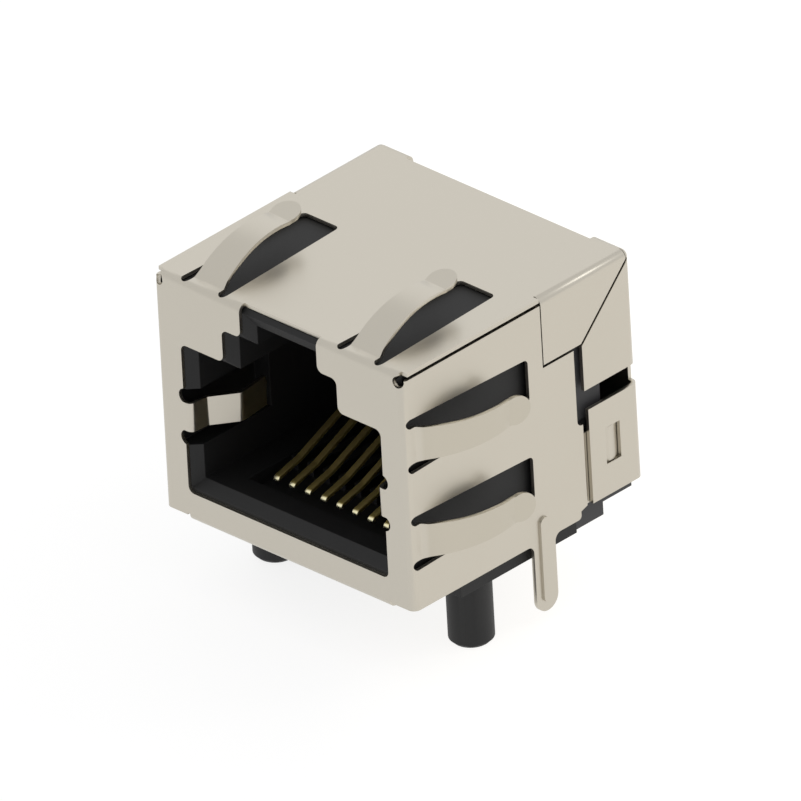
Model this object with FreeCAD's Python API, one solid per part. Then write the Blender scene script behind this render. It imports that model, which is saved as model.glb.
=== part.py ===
import FreeCAD, Part
import math
import os
from FreeCAD import Vector

# Shielded eight-contact board jack, in millimetres.
# X runs to the right, Y to the back, Z up. The origin lies on the circuit board,
# midway between the two locating posts. The plug goes in from the front, along +Y.
# Depths are measured back from the shield's front face, and heights up from its
# lower edge, unless a comment says otherwise. A size that ends in _run is a depth
# measured forward from the shield's rear face, and one in _drop a height measured
# down from its top.

# Locating posts
post_spacing = 12.70
post_setback = 5.40
post_diameter = 2.23
post_length = 3.49           # below the board's top face
post_chamfer = 0.22
flute_count = 3
flute_radius = 0.68
flute_depth = 0.09

# Sheet-metal shield
sheet = 0.20
bend = 0.20                  # inner radius of every fold
shield_width = 16.21
shield_height = 12.85
shield_depth = 15.54
board_gap = 0.89             # board to the shield's lower edge
seam = 0.14                  # open width of the seams between folded panels
corner_relief = 0.30         # radius of the hole where three folds meet
corner_relief_inset = 0.345
corner_relief_depth = 0.08
corner_relief_drop = 0.43

# Plug opening in the front panel
sill_height = 1.34
opening_width = 12.98
opening_height = 8.02
shoulder_width = 7.46
shoulder_height = 1.77
notch_width = 5.00
notch_depth = 0.42           # how far back the latch notch cuts the top
opening_corner = 0.35

# Plug-ground springs at the sides of the opening
spring_height = 1.53
spring_middle = 5.43
spring_relief = 0.40
spring_inset = 0.41          # edge of the opening to the spring's root
spring_root_run = 1.05
spring_crest = 2.37
spring_end = 4.20
spring_reach = 1.00          # how far the spring bows into the cavity

# Spring fingers on the top and sides
finger_rise = 1.42           # crease over the panel
finger_crease = 5.55
finger_arch = 5.40
finger_root = 0.70
finger_climb = 41.0          # degrees
finger_fall = 9.0
pad_lift = 13.0
finger_root_width = 1.90
finger_waist = 1.00
finger_waist_width = 1.76
finger_neck_width = 1.38
pad_diameter = 1.50
pad_centre = 5.98
window_front = 0.42
window_back = 8.36
window_root_width = 2.92
window_end_width = 2.32
window_corner = 0.28
top_finger_spacing = 10.14
side_finger_low = 3.65
side_finger_pitch = 5.25

# Flange under the front, and the folds of the rear panel
flange_width = 12.98
flange_depth = 3.00
flange_drop = 0.26
flange_relief = 0.15
edge_lift = 0.06             # lower edge of the sides and of the front beside the flange
rear_fold_inner = 6.00
rear_slot_run = 0.52
rear_slot_drop = 0.55
rear_panel_low = 0.59

# Side panels and the flaps that lie over them
side_panel_drop = 0.35
top_edge_inset = 0.035
side_back_run = 4.11
side_step_run = 3.75
side_step_height = 4.98
side_step_radius = 0.30
side_foot_run = 4.18
tongue_low = 0.60
tongue_high = 4.39
tongue_bend_run = 3.93
tongue_ramp = 0.36
tongue_end_run = 0.94
top_flap_front = 9.42
top_flap_low = 9.27
seam_foot_run = 3.59
seam_head_run = 0.34
seam_head_drop = 0.41
corner_seam = 0.04
upper_flap_run = 3.54
upper_flap_low = 6.69
lower_flap_run = 3.44
lower_flap_high = 5.67
lower_flap_proud = 0.09
latch_window_run = 2.40
latch_window_width = 0.98
latch_window_low = 2.25
latch_window_height = 1.95
latch_bump = 0.17
latch_clearance = 0.06

# Ground legs
leg_width = 1.44
leg_back_gap = 1.81          # leg to the end of the panel's lower edge
leg_length = 3.74            # below the shield's lower edge
leg_fillet = 0.40
rib_width = 0.62
rib_top = 1.32
rib_end_gap = 0.50
rib_depth = 0.12

# Plastic housing
housing_side_gap = 0.245     # to the side panels
housing_back_run = 4.10
plastic_gap = 0.05           # plastic's top to the sheet over it
housing_edge = 0.25          # chamfer that clears the sheet's folds
front_underside = 0.02
pad_front = 3.55
pad_inner_width = 9.60
pad_recess = 0.45
lead_in = 0.48               # chamfer round the cavity's mouth
cavity_floor = 2.00
notch_wall = 0.95            # plastic left over the latch notch
notch_lead_in = 0.76         # its chamfer is taller
trough_front = 1.90
trough_floor = 1.30
trough_margin = 0.27
comb_front = 4.70
comb_rib = 0.42
pocket_low = 3.80
pocket_high = 6.80
pocket_wall = 0.67
pocket_back = 5.30

# Contacts
contact_count = 8
contact_pitch = 1.02
contact_width = 0.34
contact_thickness = 0.20
tip_front = 2.87
tip_height = 1.90
heel_back = 4.55
heel_height = 2.32
contact_slope = 23.4         # degrees
heel_radius = 0.80
knee_radius = 0.35
last_row_run = 1.25
row_pitch = 2.54
tail_length = 2.90           # below the board's top face

# Contact carrier behind the housing
carrier_wall = 2.03
carrier_top_drop = 0.65
carrier_inset = 0.20         # narrower where the shield's tongues pass
carrier_inset_top = 4.95
foot_back_run = 0.12
foot_lip = 0.42
foot_lift = 0.69             # foot's underside over the board
foot_lip_top = 0.40
foot_top = 3.00
key_width = 11.30            # tongue of the carrier under the housing's floor
key_length = 1.04
key_top = 1.90
carrier_fit = 0.04
contact_fit = 0.03

# Places worked out from the sizes
front = -post_setback
base = board_gap
top = base + shield_height
half = shield_width / 2
flat_half = half - bend - sheet
ledge = shield_height - sheet
plastic_top = ledge - plastic_gap
side_foot = shield_depth - side_foot_run
leg_front = side_foot - leg_back_gap - leg_width
latch_window_front = shield_depth - latch_window_run
housing_half = half - sheet - housing_side_gap
housing_back = shield_depth - housing_back_run
carrier_back = housing_back + carrier_wall
key_front = housing_back - key_length


def yz(x):
    return lambda y, z: Vector(x, front + y, base + z)


def xy(z):
    return lambda x, y: Vector(x, front + y, base + z)


def xz(y):
    return lambda x, z: Vector(x, front + y, base + z)


def block(x0, x1, y0, y1, z0, z1):
    return Part.makeBox(x1 - x0, y1 - y0, z1 - z0, Vector(x0, front + y0, base + z0))


def mirrored(shape):
    return shape.mirror(Vector(0, 0, 0), Vector(1, 0, 0))


def direction(a, b):
    length = math.dist(a[:2], b[:2])
    return ((b[0] - a[0]) / length, (b[1] - a[1]) / length)


# The arc that rounds a corner: its centre, start, middle, end and the way it turns
def corner_arc(before, corner, after, radius):
    d1 = direction(before, corner)
    d2 = direction(corner, after)
    angle = math.atan2(d1[0] * d2[1] - d1[1] * d2[0], d1[0] * d2[0] + d1[1] * d2[1])
    turn = math.copysign(1, angle)
    reach = radius * math.tan(abs(angle) / 2)
    start = (corner[0] - d1[0] * reach, corner[1] - d1[1] * reach)
    end = (corner[0] + d2[0] * reach, corner[1] + d2[1] * reach)
    centre = (start[0] - d1[1] * radius * turn, start[1] + d1[0] * radius * turn)
    out = direction(centre, corner)
    middle = (centre[0] + out[0] * radius, centre[1] + out[1] * radius)
    return centre, start, middle, end, turn


def line(a, b, place):
    return Part.LineSegment(place(*a), place(*b)).toShape()


def arc(points, place):
    return Part.Arc(*[place(*point) for point in points]).toShape()


def link(a, b, place):
    return [line(a, b, place)] if math.dist(a, b) > 1e-6 else []


# A flat outline. A corner's third number, where it has one, is its radius
def outline(corners, place):
    rounds = []
    for i, corner in enumerate(corners):
        after = corners[(i + 1) % len(corners)]
        if len(corner) > 2:
            rounds.append(corner_arc(corners[i - 1], corner, after, corner[2])[1:4])
        else:
            rounds.append((corner, None, corner))
    edges = []
    for i, (start, middle, end) in enumerate(rounds):
        if middle:
            edges.append(arc((start, middle, end), place))
        edges += link(end, rounds[(i + 1) % len(rounds)][0], place)
    return Part.Face(Part.Wire(edges))


# Sheet folded along a path. The path is one face of the sheet, and the other face lies
# to its left with a side of 1 or its right with -1. The radii are those inside the folds
def folded(path, radii, place, side, thickness=sheet):
    near = []
    far = []
    d = direction(path[0], path[1])
    near_end = path[0]
    far_end = (path[0][0] - d[1] * side * thickness, path[0][1] + d[0] * side * thickness)
    first_far = far_end
    for i, inner in enumerate(radii):
        corner = path[i:i + 3]
        turn = corner_arc(*corner, 1.0)[4]
        radius = inner + thickness if turn * side > 0 else inner
        share = (inner if turn * side > 0 else inner + thickness) / radius
        centre, *points, turn = corner_arc(*corner, radius)
        others = [(centre[0] + (p[0] - centre[0]) * share,
                   centre[1] + (p[1] - centre[1]) * share) for p in points]
        near += link(near_end, points[0], place) + [arc(points, place)]
        far += link(far_end, others[0], place) + [arc(others, place)]
        near_end = points[2]
        far_end = others[2]
    d = direction(path[-2], path[-1])
    last = path[-1]
    last_far = (last[0] - d[1] * side * thickness, last[1] + d[0] * side * thickness)
    near += link(near_end, last, place)
    far += link(far_end, last_far, place)
    ends = [line(last, last_far, place), line(path[0], first_far, place)]
    return Part.Face(Part.Wire(Part.sortEdges(near + far + ends)[0]))


# A spring finger on a panel whose outer face is Z = 0 and whose front edge is Y = 0
def spring_finger():
    climb = math.tan(math.radians(finger_climb))
    fall = math.tan(math.radians(finger_fall))
    lift = math.tan(math.radians(pad_lift))
    knee = (finger_rise + fall * finger_crease + climb * finger_root) / (climb + fall)
    tip = pad_centre + pad_diameter
    path = [(0, -finger_crease), (0, 0), (finger_root, 0), (knee, climb * (knee - finger_root)),
            (finger_crease, finger_rise), (tip, finger_rise + lift * (tip - finger_crease))]
    radii = [bend, bend, finger_arch, bend]
    strip = folded(path, radii, lambda y, z: Vector(-finger_root_width, y, z), -1)
    strip = strip.extrude(Vector(2 * finger_root_width, 0, 0))
    wide = finger_root_width / 2
    waist = finger_waist_width / 2
    neck = finger_neck_width / 2
    right = [(wide, -sheet), (wide, finger_root), (waist, finger_waist), (neck, finger_crease),
             (neck, pad_centre)]
    left = [(-x, y) for x, y in reversed(right)]
    blade = outline(right + left, lambda x, y: Vector(x, y, -sheet - bend))
    height = 2 * finger_rise
    blade = blade.extrude(Vector(0, 0, height + sheet + bend))
    pad = Part.makeCylinder(pad_diameter / 2, height, Vector(0, pad_centre, 0))
    return strip.common(blade.fuse(pad))


# The window round a finger, with a round slot at each side of the root
def finger_window():
    place = lambda x, y: Vector(x, y, -2 * sheet)
    root = window_root_width / 2
    end = window_end_width / 2
    hole = outline([(-root, window_front), (root, window_front),
                    (end, window_back, window_corner),
                    (-end, window_back, window_corner)], place).extrude(Vector(0, 0, 4 * sheet))
    slot = (window_root_width - finger_root_width) / 4
    for side in (-1, 1):
        x = side * (root - slot)
        hole = hole.fuse(Part.makeCylinder(slot, 4 * sheet, place(x, window_front)))
    return hole


# Every finger and window, on the top and on both sides
def stamped_fingers():
    places = []
    for side in (-1, 1):
        places.append((0, Vector(side * top_finger_spacing / 2, front, top)))
        for level in (side_finger_low, side_finger_low + side_finger_pitch):
            places.append((90 * side, Vector(side * half, front, base + level)))
    pairs = []
    for shape in (spring_finger(), finger_window()):
        for angle, place in places:
            copy = shape.copy()
            copy.rotate(Vector(0, 0, 0), Vector(0, 1, 0), angle)
            copy.translate(place)
            pairs.append(copy)
    return pairs[:len(places)], pairs[len(places):]


# The stepped plug opening, with the reliefs above and below the two springs
def front_opening():
    shoulder = sill_height + opening_height
    step = shoulder + shoulder_height
    wide = opening_width / 2
    narrow = shoulder_width / 2
    notch = notch_width / 2
    over = shield_height + sheet
    r = opening_corner
    right = [(wide, sill_height, r), (wide, shoulder, r), (narrow, shoulder, r),
             (narrow, step, r), (notch, step, r), (notch, over)]
    left = [(-corner[0],) + corner[1:] for corner in reversed(right)]
    hole = outline(right + left, xz(-sheet)).extrude(Vector(0, notch_depth + sheet, 0))
    for side in (-1, 1):
        for way in (-1, 1):
            x = side * (wide - spring_relief / 4)
            z = spring_middle + way * (spring_height / 2 + 0.9 * spring_relief)
            hole = hole.fuse(Part.makeCylinder(spring_relief, 3 * sheet, xz(-sheet)(x, z),
                                               Vector(0, 1, 0)))
    return hole


# The spring that grounds the plug, folded back from the opening's right edge
def plug_spring():
    edge = opening_width / 2
    root = edge - spring_inset
    crest = root - spring_inset / 4 - spring_reach
    path = [(edge + spring_inset, 0), (root, 0), (root - spring_inset / 4, spring_root_run),
            (crest, spring_crest), (crest + spring_inset / 2, spring_end)]
    low = spring_middle - spring_height / 2
    leaf = folded(path, [bend / 2, bend, bend], xy(low), -1)
    return leaf.extrude(Vector(0, 0, spring_height))


# Flange, front, top and rear as one folded strip
def long_strip():
    path = [(flange_depth, -flange_drop), (0, -flange_drop), (0, shield_height),
            (shield_depth, shield_height), (shield_depth, rear_panel_low)]
    strip = folded(path, [bend, bend, bend], yz(-flat_half), -1)
    strip = strip.extrude(Vector(2 * flat_half, 0, 0))
    flange = flange_width / 2
    fold_top = bend + sheet - flange_drop
    cut = block(flange, half, -sheet, flange_depth + sheet, -flange_drop - sheet, fold_top)
    cuts = [cut, mirrored(cut)]
    cuts.append(block(-rear_fold_inner, rear_fold_inner, shield_depth - rear_slot_run,
                      shield_depth + sheet, shield_height - rear_slot_drop,
                      shield_height + sheet))
    corner = block(flange + flange_relief, flat_half, 0, sheet, edge_lift, fold_top)
    edge = block(flat_half, half - top_edge_inset, bend + sheet, top_flap_front - seam / 2,
                 ledge, shield_height)
    return strip.cut(cuts).fuse([corner, mirrored(corner), edge, mirrored(edge)])


# The right side panel with its ground leg, cut from sheet folded back from the front
def side_panel():
    step = shield_depth - side_step_run
    back = shield_depth - side_back_run
    head = shield_height - side_panel_drop
    path = [(flat_half - sheet, 0), (half, 0), (half, step)]
    panel = folded(path, [bend], xy(-leg_length), 1)
    panel = panel.extrude(Vector(0, 0, leg_length + head))
    leg_back = leg_front + leg_width
    end = leg_width / 2 - 0.001
    low = edge_lift
    corners = [(-sheet, low), (leg_front, low, leg_fillet), (leg_front, -leg_length, end),
               (leg_back, -leg_length, end), (leg_back, low, leg_fillet),
               (side_foot, low, bend), (side_foot, tongue_low - seam), (step, tongue_low),
               (step, side_step_height), (back, side_step_height, side_step_radius),
               (back, top_flap_low - seam), (top_flap_front - seam / 2, top_flap_low - seam),
               (top_flap_front - seam / 2, head), (-sheet, head)]
    blank = outline(corners, yz(flat_half - 2 * sheet)).extrude(Vector(6 * sheet, 0, 0))
    return panel.common(blank)


# A capsule-shaped bead along the leg
def leg_bead(radius, x, thickness):
    middle = leg_front + leg_width / 2
    low = -leg_length + rib_end_gap
    corners = [(middle - radius, low, radius - 0.001), (middle + radius, low, radius - 0.001),
               (middle + radius, rib_top, radius - 0.001),
               (middle - radius, rib_top, radius - 0.001)]
    return outline(corners, yz(x)).extrude(Vector(thickness, 0, 0))


# The side panel's tongue, stepped inwards to pass under the lower rear flap
def side_tongue():
    step = sheet - lower_flap_proud + latch_clearance / 2
    turn = shield_depth - tongue_bend_run
    path = [(half, turn - sheet), (half, turn), (half - step, turn + tongue_ramp),
            (half - step, shield_depth - tongue_end_run)]
    strip = folded(path, [bend, bend], xy(tongue_low), 1)
    strip = strip.extrude(Vector(0, 0, tongue_high - tongue_low))
    a = latch_window_front + latch_clearance
    b = latch_window_front + latch_window_width - latch_clearance
    face = half - step
    bump = outline([(face - sheet / 2, a), (face, a), (face + latch_bump, a + 1.2 * latch_bump),
                    (face + latch_bump, b - 2.4 * latch_bump), (face, b), (face - sheet / 2, b)],
                   xy(latch_window_low + latch_clearance))
    bump = bump.extrude(Vector(0, 0, latch_window_height - 2 * latch_clearance))
    return strip.fuse(bump)


# The flap folded down from the top, and the two folded forward from the rear panel
def right_flaps():
    seam_head = shield_depth - seam_head_run
    top_path = [(flat_half - sheet, shield_height), (half, shield_height), (half, top_flap_low)]
    top_flap = folded(top_path, [bend], xz(top_flap_front), -1)
    top_flap = top_flap.extrude(Vector(0, seam_head - top_flap_front, 0))
    head = (seam_head, shield_height - seam_head_drop)
    foot = (shield_depth - seam_foot_run, top_flap_low)
    over = shield_height + sheet
    kept = outline([(top_flap_front, top_flap_low), foot, head, (seam_head, over),
                    (top_flap_front, over)], yz(flat_half - 2 * sheet))
    top_flap = top_flap.common(kept.extrude(Vector(6 * sheet, 0, 0)))

    upper_front = shield_depth - upper_flap_run
    rear_path = [(flat_half - sheet, shield_depth), (half, shield_depth), (half, upper_front)]
    fold_top = shield_height - bend - sheet
    upper = folded(rear_path, [bend], xy(upper_flap_low), -1)
    upper = upper.extrude(Vector(0, 0, fold_top - upper_flap_low))
    run = direction(foot, head)
    across = (foot[0] + run[1] * seam, foot[1] - run[0] * seam)
    edge_height = across[1] + (upper_front - across[0]) * run[1] / run[0]
    edge_back = across[0] + (fold_top - across[1]) * run[0] / run[1]
    reach = shield_depth + sheet
    kept = outline([(upper_front, upper_flap_low), (reach, upper_flap_low),
                    (reach, fold_top), (edge_back, fold_top), (upper_front, edge_height)],
                   yz(flat_half - 2 * sheet))
    upper = upper.common(kept.extrude(Vector(6 * sheet, 0, 0)))

    outer = half + lower_flap_proud
    rear_path = [(flat_half - 2 * sheet, shield_depth), (outer, shield_depth),
                 (outer, shield_depth - lower_flap_run)]
    lower = folded(rear_path, [bend], xy(rear_panel_low), -1)
    lower = lower.extrude(Vector(0, 0, lower_flap_high - rear_panel_low))
    lower = lower.cut(block(half - sheet, outer + sheet, latch_window_front,
                            latch_window_front + latch_window_width, latch_window_low,
                            latch_window_low + latch_window_height))
    centre = yz(flat_half)(shield_depth - bend - sheet, fold_top)
    ball = Part.makeSphere(bend + sheet, centre).cut(Part.makeSphere(bend, centre))
    corner = ball.common(block(flat_half, half, seam_head + corner_seam, shield_depth,
                               fold_top, shield_height))
    return [top_flap, upper, lower, corner]


def make_shield():
    fingers, windows = stamped_fingers()
    panel = side_panel()
    strip = long_strip().fuse([panel, mirrored(panel)])
    strip = strip.cut(windows + [front_opening()])
    centre = Vector(half - corner_relief_inset, front + corner_relief_depth,
                    top - corner_relief_drop)
    relief = Part.makeSphere(corner_relief, centre)
    strip = strip.cut([relief, mirrored(relief)])
    right = right_flaps() + [side_tongue(), plug_spring()]
    pad = leg_bead(rib_width / 2, half - sheet / 2, sheet / 2 + rib_depth)
    right.append(pad)
    shield = strip.fuse(right + [mirrored(shape) for shape in right] + fingers)
    groove = leg_bead(rib_width / 2 - rib_depth, half - 2 * sheet, sheet + rib_depth)
    return shield.cut([groove, mirrored(groove)]).removeSplitter()


# The stepped plug cavity, grown outwards by a margin at one depth
def cavity_outline(margin, depth):
    shoulder = sill_height + opening_height - lead_in + margin
    step = shoulder + shoulder_height
    wide = opening_width / 2 - lead_in + margin
    narrow = shoulder_width / 2 - lead_in + margin
    notch = notch_width / 2 - lead_in + margin
    low = cavity_floor - margin
    high = plastic_top - notch_wall + margin * notch_lead_in / lead_in
    right = [(wide, low), (wide, shoulder), (narrow, shoulder), (narrow, step),
             (notch, step), (notch, high)]
    left = [(-x, z) for x, z in reversed(right)]
    return outline(right + left, xz(depth))


# A locating post with shallow flutes along it and a chamfered end
def locating_post(x):
    radius = post_diameter / 2
    post = Part.makeCylinder(radius, post_length + pad_recess, Vector(x, 0, -post_length))
    rim = [edge for edge in post.Edges if abs(edge.CenterOfMass.z + post_length) < 1e-3]
    post = post.makeChamfer(post_chamfer, rim[:1])
    away = radius + flute_radius - flute_depth
    for i in range(flute_count):
        turn = -math.pi / 4 + i * 2 * math.pi / flute_count
        centre = Vector(x + away * math.cos(turn), away * math.sin(turn), -2 * post_length)
        post = post.cut(Part.makeCylinder(flute_radius, 2 * post_length, centre))
    return post


def contact_x(i):
    return (i - (contact_count - 1) / 2) * contact_pitch


def make_housing():
    side = housing_half
    face = sheet
    ceiling = plastic_top
    board = -board_gap
    body = block(-side, side, face, housing_back, front_underside, ceiling)
    rim = [edge for edge in body.Edges if abs(edge.CenterOfMass.y - front - face) < 1e-6]
    body = body.makeChamfer(housing_edge, rim)
    body = body.fuse(block(-side, side, pad_front, housing_back, board, front_underside))
    inner = pad_inner_width / 2
    body = body.cut(block(-inner, inner, pad_front, housing_back, board, board + pad_recess))

    mouth = Part.makeLoft([cavity_outline(lead_in, face).OuterWire,
                           cavity_outline(0, face + lead_in).OuterWire], True, True)
    cavity = cavity_outline(0, face).extrude(Vector(0, housing_back, 0))
    body = body.cut([mouth, cavity])

    pocket = side - pocket_wall
    body = body.cut(block(-pocket, pocket, face, pocket_back, pocket_low, pocket_high))
    trough = contact_count * contact_pitch / 2 + trough_margin
    body = body.cut(block(-trough, trough, trough_front, housing_back, trough_floor,
                          cavity_floor))
    ribs = []
    for i in range(contact_count + 1):
        x = contact_x(i) - contact_pitch / 2
        ribs.append(block(x - comb_rib / 2, x + comb_rib / 2, comb_front,
                          key_front - carrier_fit, trough_floor, cavity_floor))
    body = body.fuse(ribs)

    key = key_width / 2 + carrier_fit
    body = body.cut(block(-key, key, key_front - carrier_fit, housing_back, board,
                          key_top + carrier_fit))
    posts = [locating_post(x * post_spacing / 2) for x in (-1, 1)]
    return body.fuse(posts).removeSplitter()


# One contact: a free tip at the front, a long slope to the back and a leg to the board
def contact(i, width=contact_width, thickness=contact_thickness, grow=0.0):
    rise = math.tan(math.radians(contact_slope))
    back = shield_depth - last_row_run - row_pitch * ((i + 1) % 2) + thickness / 2
    knee = (back, heel_height + grow + (back - heel_back) * rise)
    path = [(tip_front, tip_height + grow), (heel_back, heel_height + grow), knee,
            (back, -board_gap - tail_length)]
    profile = folded(path, [heel_radius, knee_radius], yz(contact_x(i) - width / 2), -1,
                     thickness)
    return profile.extrude(Vector(width, 0, 0))


def make_carrier():
    side = housing_half
    board = -board_gap
    narrow = side - carrier_inset
    underside = board + foot_lift
    foot_back = shield_depth - foot_back_run
    wall = block(-side, side, housing_back, carrier_back, carrier_inset_top,
                 shield_height - carrier_top_drop)
    stem = block(-narrow, narrow, housing_back, carrier_back, board, carrier_inset_top)
    foot = block(-narrow, narrow, carrier_back, foot_back - foot_lip, underside, foot_top)
    lip = block(-narrow, narrow, foot_back - foot_lip, foot_back, underside, foot_lip_top)
    key = block(-key_width / 2, key_width / 2, key_front, housing_back, board, key_top)
    body = wall.fuse([stem, foot, lip, key])
    slots = [contact(i, contact_width + 2 * contact_fit, contact_thickness + 2 * contact_fit,
                     contact_fit) for i in range(contact_count)]
    return body.cut(slots).removeSplitter()


def main():
    os.makedirs("parts", exist_ok=True)
    pieces = {"shield": make_shield(), "housing": make_housing(),
              "contact_carrier": make_carrier()}
    for i in range(contact_count):
        pieces[f"contact_{i + 1}"] = contact(i)
    for name, shape in pieces.items():
        print(name, len(shape.Solids), "solids", round(shape.Volume, 2), "mm3",
              "valid" if shape.isValid() else "not valid")
        solid = shape.Solids[0] if len(shape.Solids) == 1 else shape
        solid.exportStep(f"parts/{name}.step")


main()
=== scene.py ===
# %% [markdown]
# # A shielded board jack, dressed in Blender
#
# The real object is a small network jack that is soldered into a circuit board: one folded
# sheet of nickel-plated metal round a black moulded housing, with eight gold-plated contacts
# inside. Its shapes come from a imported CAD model. This lesson gives those shapes soft edges,
# forms the contacts again from extruded and spun bars, and makes the three kinds of finish
# that the photograph shows: nickel plate, black plastic and plated contacts.

# %% Load the model
import math

import bmesh
import bpy
from mathutils import Matrix, Vector


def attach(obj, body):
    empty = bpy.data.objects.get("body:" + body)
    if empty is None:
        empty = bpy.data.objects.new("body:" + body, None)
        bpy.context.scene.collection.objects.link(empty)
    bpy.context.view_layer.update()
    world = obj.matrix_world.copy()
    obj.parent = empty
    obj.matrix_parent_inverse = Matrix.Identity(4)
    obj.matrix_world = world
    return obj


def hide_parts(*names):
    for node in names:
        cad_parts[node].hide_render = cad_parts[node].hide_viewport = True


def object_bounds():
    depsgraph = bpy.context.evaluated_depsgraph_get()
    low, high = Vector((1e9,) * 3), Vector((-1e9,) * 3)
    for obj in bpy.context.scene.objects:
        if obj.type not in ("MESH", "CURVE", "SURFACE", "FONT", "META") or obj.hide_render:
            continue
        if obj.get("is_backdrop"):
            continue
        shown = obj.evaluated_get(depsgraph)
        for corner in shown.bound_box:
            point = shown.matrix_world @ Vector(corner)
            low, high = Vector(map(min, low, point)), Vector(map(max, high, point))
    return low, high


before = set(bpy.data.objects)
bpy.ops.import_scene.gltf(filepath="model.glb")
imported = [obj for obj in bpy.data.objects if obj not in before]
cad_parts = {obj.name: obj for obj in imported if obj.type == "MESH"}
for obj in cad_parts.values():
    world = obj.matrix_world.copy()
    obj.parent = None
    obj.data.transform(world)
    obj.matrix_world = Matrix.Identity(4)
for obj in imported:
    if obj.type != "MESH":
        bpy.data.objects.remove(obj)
cad_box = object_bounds()
mm = 0.001
print(len(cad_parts), "pieces from the model")

# %% [markdown]
# ## Camera
#
# The photograph has no perspective: edges that are parallel on the jack stay parallel in it.
# A perspective camera far away would come close, but an orthographic one is exact, and its
# scale is simply the width of the picture on the object. The camera looks down by about 30
# degrees at the front right corner, and is rolled by 3 degrees. Its three directions are set
# as the columns of a matrix.

# %% Place the camera
picture_width = 37.59 * mm
camera_distance = 120 * mm
nearest_shown = 1 * mm
farthest_shown = 1000 * mm
aim = Vector((-0.917, 3.374, 5.253)) * mm
back = Vector((0.616, -0.610, 0.499)).normalized()
right = Vector((0.7225, 0.6899, -0.0484))
right = (right - back * right.dot(back)).normalized()
up = back.cross(right)

camera_data = bpy.data.cameras.new("camera")
camera_data.type = "ORTHO"
camera_data.ortho_scale = picture_width
camera_data.clip_start = nearest_shown
camera_data.clip_end = farthest_shown
camera = bpy.data.objects.new("camera", camera_data)
bpy.context.scene.collection.objects.link(camera)
turn = Matrix((right, up, back)).transposed().to_4x4()
camera.matrix_world = Matrix.Translation(aim + back * camera_distance) @ turn
bpy.context.scene.camera = camera
print("camera looks along", [round(-v, 3) for v in back])

# %% [markdown]
# ## Arithmetic on shader sockets
#
# A finish is easier to read as a formula than as a web of nodes. One small class wraps an
# output socket and turns + - * into Math nodes. Their reflected forms make 1 - mask work too.
# Every other node comes from one method, which takes the node's type, its settings and what
# goes into its sockets. The Object coordinates are scaled to millimetres first, so masks and
# patterns are set in millimetres.


# %% The socket class and the finish maker
class Signal:
    def __init__(self, finish, output):
        self.finish = finish
        self.output = output

    def math(self, operation, a, b):
        return self.finish.add("ShaderNodeMath", {"operation": operation}, {0: a, 1: b})

    def __add__(self, other):
        return self.math("ADD", self, other)

    def __radd__(self, other):
        return self.math("ADD", other, self)

    def __sub__(self, other):
        return self.math("SUBTRACT", self, other)

    def __rsub__(self, other):
        return self.math("SUBTRACT", other, self)

    def __mul__(self, other):
        return self.math("MULTIPLY", self, other)

    def __rmul__(self, other):
        return self.math("MULTIPLY", other, self)

    # A mask that is 0 below the edge and 1 above it, with a smooth step between
    def above(self, edge, softness):
        settings = {"interpolation_type": "SMOOTHSTEP"}
        sockets = {"Value": self, "From Min": edge - softness, "From Max": edge + softness}
        return self.finish.add("ShaderNodeMapRange", settings, sockets)


class Finish:
    def __init__(self, name):
        self.material = bpy.data.materials.new(name)
        self.material.use_nodes = True
        self.tree = self.material.node_tree
        self.surface = self.tree.nodes["Principled BSDF"]
        place = self.add("ShaderNodeTexCoord", output="Object")
        settings = {"operation": "SCALE"}
        self.mm = self.add("ShaderNodeVectorMath", settings, {0: place, "Scale": 1 / mm})

    def add(self, kind, settings=None, sockets=None, output=0):
        node = self.tree.nodes.new(kind)
        for key, value in (settings or {}).items():
            setattr(node, key, value)
        self.feed(node, sockets or {})
        return Signal(self, node.outputs[output])

    def feed(self, node, sockets):
        for key, value in sockets.items():
            if isinstance(value, Signal):
                self.tree.links.new(value.output, node.inputs[key])
            else:
                node.inputs[key].default_value = value

    # The inputs 6 and 7 and the output 2 of a Mix node are the ones for colours
    def mix(self, share, a, b):
        settings = {"data_type": "RGBA"}
        return self.add("ShaderNodeMix", settings, {0: share, 6: a, 7: b}, output=2)

    def noise(self, scale, detail, stretch=(1, 1, 1)):
        where = self.add("ShaderNodeMapping", {}, {"Vector": self.mm, "Scale": stretch})
        sockets = {"Vector": where, "Scale": scale, "Detail": detail}
        return self.add("ShaderNodeTexNoise", {}, sockets)

    def coordinate(self, axis):
        return self.add("ShaderNodeSeparateXYZ", {}, {0: self.mm}, output=axis)

    def bump(self, height, depth):
        sockets = {"Height": height, "Strength": 1.0, "Distance": depth}
        return self.add("ShaderNodeBump", {}, sockets)


print("finish maker ready")

# %% [markdown]
# ## Finish: nickel-plated sheet
#
# The shield is copper alloy strip with a satin nickel plate. Nickel is a slightly warm grey,
# and the satin comes from fine rolling lines in the strip under the plate. A plain metal of
# one roughness would look like plastic foil, so the roughness follows long thin noise along
# the strip, a slow noise shifts the tint a little where the plate is thicker, and a very
# shallow bump makes the reflections waver. What stands proud of the sides, the side fingers,
# gets a slightly darker tint: a painted shade. The mask for that is the distance from the
# middle, squared, which takes in both sides at once.

# %% Make the nickel finish
plate_dark, plate_light = (0.520, 0.488, 0.421, 1), (0.539, 0.506, 0.440, 1)
# Painted shade: a darker tint for the side fingers that stand proud of the sides
finger_shade_dark, finger_shade_light = (0.482, 0.450, 0.380, 1), (0.500, 0.467, 0.397, 1)
proud_square, proud_softness = 69, 1.5  # square millimetres; 69 is 8.3 mm from the middle
nickel_roughness = 0.26
nickel_variation = 0.05
line_share, speckle_share = 0.6, 0.4
nickel_depth = 0.0012 * mm


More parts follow.
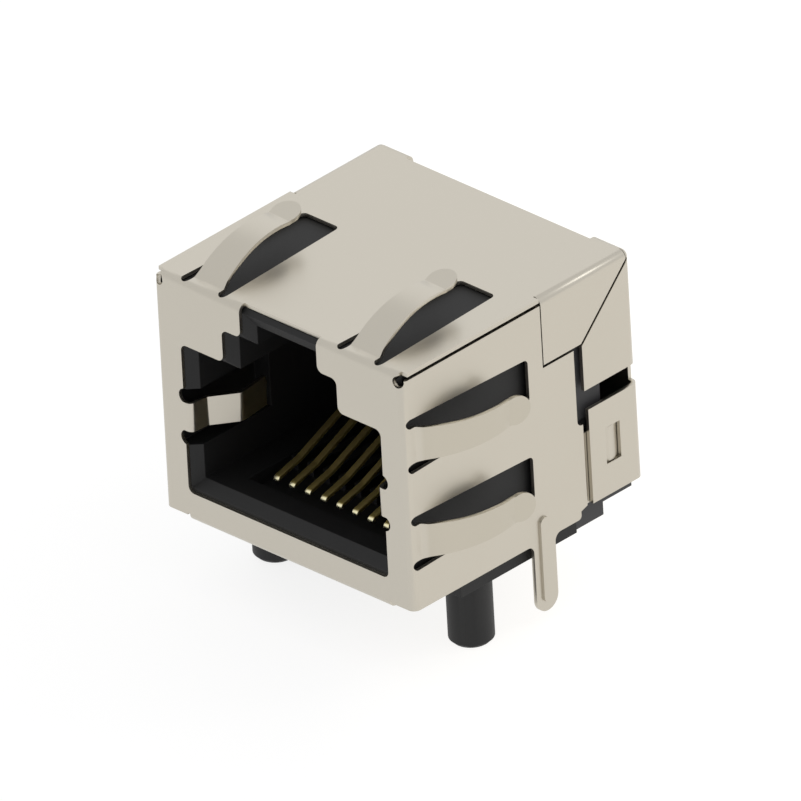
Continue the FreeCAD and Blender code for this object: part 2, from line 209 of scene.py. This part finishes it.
def nickel_plate():
    finish = Finish("nickel_plate")
    lines = finish.noise(scale=3.0, detail=4.0, stretch=(9.0, 0.45, 9.0))
    cloud = finish.noise(scale=0.22, detail=3.0)
    speckle = finish.noise(scale=26.0, detail=2.0)
    across = finish.coordinate("X")
    proud = (across * across).above(proud_square, proud_softness)
    relief = lines * line_share + speckle * speckle_share
    plate = finish.mix(cloud, plate_dark, plate_light)
    # The darker painted shade tint for the side fingers
    shaded_fingers = finish.mix(cloud, finger_shade_dark, finger_shade_light)
    finish.feed(finish.surface, {
        "Base Color": finish.mix(proud, plate, shaded_fingers),
        "Metallic": 1.0,
        "Roughness": nickel_roughness + lines * nickel_variation + cloud * nickel_variation,
        "Normal": finish.bump(relief, nickel_depth)})
    return finish.material


nickel = nickel_plate()
print(nickel.name, len(nickel.node_tree.nodes), "nodes")

# %% [markdown]
# ## Finish: black moulded plastic
#
# The housing and the contact carrier are glass-filled nylon or polyester, moulded in tools
# with a fine spark-eroded surface. The colour is nearly even, so most of the character is in
# the surface: a grain of a few hundredths of a millimetre, and slow, wide changes in gloss
# where the melt met the cooler wall. The carrier is greyer and duller than the housing, so
# the two are made by one function with numbers of their own.

# %% Make the plastic finishes
plastic_specular = 0.40
blue_share = 1.05
grain_variation = 0.10
flow_variation = 0.08
grain_depth = 0.004 * mm


def black_plastic(name, dark, light, roughness):
    finish = Finish(name)
    grain = finish.noise(scale=18.0, detail=3.0)
    flow = finish.noise(scale=0.5, detail=2.0, stretch=(1.0, 0.4, 1.0))
    darker = (dark, dark, dark * blue_share, 1)
    lighter = (light, light, light * blue_share, 1)
    finish.feed(finish.surface, {
        "Base Color": finish.mix(flow, darker, lighter),
        "Roughness": roughness + grain * grain_variation + flow * flow_variation,
        "Specular IOR Level": plastic_specular,
        "Normal": finish.bump(grain, grain_depth)})
    return finish.material


housing_black = black_plastic("housing_black", dark=0.0038, light=0.0056, roughness=0.50)
carrier_black = black_plastic("carrier_black", dark=0.042, light=0.048, roughness=0.60)
print(housing_black.name, "and", carrier_black.name)

# %% [markdown]
# ## Finish: plated contacts
#
# Contacts are stamped from thin phosphor bronze. Gold covers the stretch that the plug
# touches, and the tails that are soldered carry matte tin. The free tip is painted paler, a
# painted highlight, and is made shinier. One finish does all three: a soft mask on the
# height, at the bottom of the carrier, changes the colour, and another on the depth paints
# the pale highlight and lowers the roughness of the tip. Fine lines along the bar are left by
# rolling.

# %% Make the contact finish
gold_dark, gold_light = (0.62, 0.49, 0.16, 1), (0.70, 0.56, 0.20, 1)
# Painted highlight: a pale colour at the free tip
tip_highlight_colour = (0.93, 0.87, 0.58, 1)
tin_colour = (0.60, 0.59, 0.56, 1)
gold_from, gold_softness = 0.9, 0.25    # mm above the board
tip_from, tip_softness = 2.41, 0.05     # mm in front of the posts
contact_roughness = 0.42
contact_variation = 0.06
tip_smoothing = 0.14
contact_depth = 0.001 * mm


def contact_plating():
    finish = Finish("contact_plating")
    gold_share = finish.coordinate("Z").above(gold_from, gold_softness)
    tip_highlight_share = (0 - finish.coordinate("Y")).above(tip_from, tip_softness)
    lines = finish.noise(scale=10.0, detail=3.0, stretch=(6.0, 0.35, 0.35))
    gold = finish.mix(lines, gold_dark, gold_light)
    # The painted highlight: the tip turns pale
    upper = finish.mix(tip_highlight_share, gold, tip_highlight_colour)
    finish.feed(finish.surface, {
        "Base Color": finish.mix(gold_share, tin_colour, upper),
        "Metallic": 1.0,
        "Roughness": contact_roughness + lines * contact_variation - tip_highlight_share * tip_smoothing,
        "Normal": finish.bump(lines, contact_depth)})
    return finish.material


plating = contact_plating()
print(plating.name, len(plating.node_tree.nodes), "nodes")

# %% [markdown]
# ## Soft edges for the shield and the mouldings
#
# Nothing real has a perfectly sharp edge. A stamped sheet has a rolled-over edge of a few
# hundredths of a millimetre, and a moulding has the small radius that the tool's cutter left.
# These radii are what catches the light along an edge. The model's mesh is loose triangles,
# so a copy is merged, its flat triangles are joined into large faces, and a bevel runs along
# the edges that turn by more than 35 degrees. Smooth shading would then bend the light on the
# large flats too, so a Weighted Normal modifier lets the large faces decide.
#
# The bevel may not overlap itself, and one narrow face holds back the whole piece. So the
# shield asks for 0.055 mm and gets about 0.02 mm. Letting it overlap makes spikes in corners.

# %% Helpers that round edges, place a piece and do both to a piece of the model
rounded_angle = math.radians(35)
shaded_angle = math.radians(50)
flat_angle = math.radians(0.5)
merge_distance = 0.0005 * mm


def round_edges(made, width):
    sharp = [edge for edge in made.edges
             if edge.is_manifold and edge.calc_face_angle(0) > rounded_angle]
    bmesh.ops.bevel(made, geom=sharp, offset=width, offset_type="OFFSET", affect="EDGES",
                    segments=2, profile=0.5, material=-1, clamp_overlap=True)
    return len(sharp)


def placed_piece(made, node, name, finish):
    mesh = bpy.data.meshes.new(name)
    made.to_mesh(mesh)
    made.free()
    for polygon in mesh.polygons:
        polygon.use_smooth = True
    mesh.set_sharp_from_angle(angle=shaded_angle)
    mesh.materials.append(finish)
    piece = bpy.data.objects.new(name, mesh)
    bpy.context.scene.collection.objects.link(piece)
    flat = piece.modifiers.new("flats_stay_flat", "WEIGHTED_NORMAL")
    flat.keep_sharp = True
    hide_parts(node)
    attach(piece, "root")
    return piece


def softened(node, name, width, finish):
    made = bmesh.new()
    made.from_mesh(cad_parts[node].data)
    bmesh.ops.remove_doubles(made, verts=made.verts, dist=merge_distance)
    bmesh.ops.dissolve_limit(made, angle_limit=flat_angle, verts=made.verts, edges=made.edges)
    count = round_edges(made, width)
    piece = placed_piece(made, node, name, finish)
    print(name, count, "edges softened,", len(piece.data.polygons), "faces")


print("edges are rounded from", round(math.degrees(rounded_angle)), "degrees up")

# %% Soften the shield, the housing and the carrier
sheet_edge = 0.055 * mm
mould_edge = 0.03 * mm
softened("shield", "folded_shield", sheet_edge, nickel)
softened("housing", "moulded_housing", mould_edge, housing_black)
softened("contact_carrier", "moulded_carrier", mould_edge, carrier_black)

# %% [markdown]
# ## Contacts formed from a bar
#
# A real contact is a thin strip that a press bends: once over the carrier, at the knee, where
# it turns from the leg to the long slope, and a little at the heel, where the free tip
# flattens out. The same steps work here. A small rectangle at the leg's end is pulled up, spun
# round the knee, pulled down the slope, spun back round the heel and pulled out to the tip.
# Drawing the bar as one long box and bending it with a modifier would stretch it, while a spin
# keeps its thickness. The last bit is spun down into a small nose, so that the plug can ride
# over it, and the nose is what catches the light in the dark cavity.
#
# Extruding and spinning number the new faces differently from run to run. So before its edges
# are rounded, each bar is written out again in a fixed order, and every run gives one mesh.

# %% Sizes of a contact
thickness = 0.20 * mm
slope = math.radians(23.4)
tip = Vector((0, -2.53, 2.79)) * mm
heel = Vector((0, -0.85, 3.21)) * mm
knee_radius, knee_steps = 0.55 * mm, 12
heel_radius, heel_steps = 0.80 * mm, 3
nose_radius, nose_steps = 0.28 * mm, 5
nose_turn = math.radians(72)
bar_edge = 0.02 * mm
rank_direction = Vector((1.0, 3.7, 11.3))
tip_slope = math.atan2(heel.z - tip.z, heel.y - tip.y)
knee_turn = math.radians(90) + slope
knee_reach = knee_radius * math.tan(knee_turn / 2)
heel_reach = heel_radius * math.tan((slope - tip_slope) / 2)
up_slope = Vector((0, math.cos(slope), math.sin(slope)))
print("the tip's slope, degrees:", round(math.degrees(tip_slope), 1))


# %% Form every contact
def ring(geometry):
    verts = {item for item in geometry if isinstance(item, bmesh.types.BMVert)}
    return [item for item in geometry
            if isinstance(item, bmesh.types.BMEdge) and set(item.verts) <= verts]


def pulled(made, edges, shift):
    result = bmesh.ops.extrude_edge_only(made, edges=edges)["geom"]
    verts = [item for item in result if isinstance(item, bmesh.types.BMVert)]
    bmesh.ops.translate(made, verts=verts, vec=shift)
    return ring(result)


def bent(made, edges, centre, angle, steps):
    result = bmesh.ops.spin(made, geom=edges, cent=centre, axis=(1, 0, 0),
                            angle=angle, steps=steps)
    return ring(result["geom_last"])


# The same mesh, with its vertices and faces ranked by where they lie along one direction
def ranked(made):
    made.verts.sort(key=lambda vertex: vertex.co.dot(rank_direction))
    made.faces.sort(key=lambda face: face.calc_center_median().dot(rank_direction))
    made.verts.index_update()
    fresh = bmesh.new()
    corners = [fresh.verts.new(vertex.co) for vertex in made.verts]
    for face in made.faces:
        numbers = [vertex.index for vertex in face.verts]
        first = numbers.index(min(numbers))
        fresh.faces.new([corners[i] for i in numbers[first:] + numbers[:first]])
    fresh.normal_update()
    made.free()
    return fresh


# A grid of size 0.5 is one unit wide, so the matrix gives the bar its width and thickness
def bar_end(made, low, high):
    place = Matrix.Translation(((low.x + high.x) / 2, high.y - thickness / 2, low.z))
    size = Matrix.Diagonal((high.x - low.x, thickness, 1, 1))
    bmesh.ops.create_grid(made, x_segments=1, y_segments=1, size=0.5, matrix=place @ size)
    return made.edges[:]


def formed_contact(node, name):
    spots = [vertex.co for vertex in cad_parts[node].data.vertices]
    low = Vector([min(spot[i] for spot in spots) for i in range(3)])
    high = Vector([max(spot[i] for spot in spots) for i in range(3)])
    rear = high.y
    made = bmesh.new()
    edges = bar_end(made, low, high)

    knee_height = heel.z + (rear - heel.y) * math.tan(slope)
    edges = pulled(made, edges, (0, 0, knee_height - knee_reach - low.z))
    centre = (0, rear - knee_radius, knee_height - knee_reach)
    edges = bent(made, edges, centre, knee_turn, knee_steps)

    length = (rear - heel.y) / math.cos(slope) - knee_reach - heel_reach
    edges = pulled(made, edges, -up_slope * length)
    over_slope = Vector((0, -up_slope.z, up_slope.y))
    centre = heel + up_slope * heel_reach + over_slope * heel_radius
    edges = bent(made, edges, centre, tip_slope - slope, heel_steps)

    outwards = (tip - heel).normalized()
    nose = tip - outwards * nose_radius * (1 - math.sin(tip_slope)) / math.cos(tip_slope)
    edges = pulled(made, edges, outwards * ((nose - heel).length - heel_reach))
    centre = nose + Vector((0, -outwards.z, outwards.y)) * nose_radius
    edges = bent(made, edges, centre, nose_turn, nose_steps)

    bmesh.ops.edgeloop_fill(made, edges=edges)
    bmesh.ops.recalc_face_normals(made, faces=made.faces)
    made = ranked(made)
    round_edges(made, bar_edge)
    return placed_piece(made, node, name, plating)


contacts = [formed_contact(f"contact_{i}", f"formed_contact_{i}") for i in range(1, 9)]
print(len(contacts), "contacts,", len(contacts[0].data.polygons), "faces each")

# %% [markdown]
# ## Floor
#
# The jack stands on a white sheet that is lit until it burns out to pure white, with only a
# breath of shadow under the jack. A sheet that is lit by the sky alone would turn clearly grey
# there. So most of its white is its own glow and the small rest is lit, which leaves a faint
# shadow. The metal mirrors this sheet in its front and side. The glow rises towards the back
# right, since the side is brighter than the front. The sheet lies a hair below the posts, so
# that their flat ends and the sheet don't share one plane.

# %% Lay the floor
floor_gap = 0.002 * mm
floor_width = 2000 * mm
floor_base = (0.20, 0.20, 0.20, 1)
front_glow, back_glow = (0.83, 0.83, 0.83, 1), (0.93, 0.915, 0.89, 1)
back_from, back_softness = 4, 10        # mm, X and Y added

floor_height = cad_box[0].z - floor_gap
bpy.ops.mesh.primitive_plane_add(size=floor_width, location=(0, 0, floor_height))
floor = bpy.context.object
floor.name = "floor"
white = Finish("white_sheet")
towards_back = (white.coordinate("X") + white.coordinate("Y")).above(back_from, back_softness)
white.feed(white.surface, {
    "Base Color": floor_base,
    "Roughness": 0.9,
    "Specular IOR Level": 0.0,
    "Emission Color": white.mix(towards_back, front_glow, back_glow),
    "Emission Strength": 1.0})
floor.data.materials.append(white.material)
floor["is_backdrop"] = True
print("floor at", round(floor_height / mm, 2), "mm")

# %% [markdown]
# ## Light
#
# The picture was lit from all round, as in a white tent. An even pale sky does most of the
# work. One large soft lamp at the back left is what the top mirrors, so the top comes out
# brighter than the slopes of the spring fingers, which mirror the sky over the front. A small
# bright lamp at the back right is mirrored by no flat face, only by rounded edges and folds
# between the top and the side, and draws a light line along them. What a mirror shows of a
# lamp is its brightness, so that is what is set, and the power follows from it and the area.

# %% Set the light
sky_colour, sky_strength = (1.0, 1.0, 1.0, 1), 0.92
world = bpy.data.worlds.new("tent")
world.use_nodes = True
bpy.context.scene.world = world
sky = world.node_tree.nodes["Background"]
sky.inputs["Color"].default_value = sky_colour
sky.inputs["Strength"].default_value = sky_strength
bpy.context.scene.view_settings.view_transform = "Standard"


def soft_lamp(name, place, brightness, size):
    data = bpy.data.lights.new(name, "AREA")
    data.energy = brightness * math.pi * size ** 2
    data.size = size
    lamp = bpy.data.objects.new(name, data)
    bpy.context.scene.collection.objects.link(lamp)
    lamp.location = place
    lamp.rotation_euler = (-Vector(place)).to_track_quat("-Z", "Y").to_euler()
    return lamp


back_lamp = soft_lamp("back_lamp", place=(-0.27, 0.27, 0.22), brightness=0.24, size=0.24)
edge_lamp = soft_lamp("edge_lamp", place=(0.22, 0.27, 0.27), brightness=3.0, size=0.1)
print("lamps:", back_lamp.name, edge_lamp.name)

# %% [markdown]
# ## Sizes
#
# The sizes of the model and of the dressed part are measured, and the last line prints
# how far the corners of their two boxes lie apart.

# %% Measure and compare the sizes
shown_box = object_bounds()
differences = [round((a - b).length / mm, 3) for a, b in zip(cad_box, shown_box)]
print("size difference, mm:", differences)
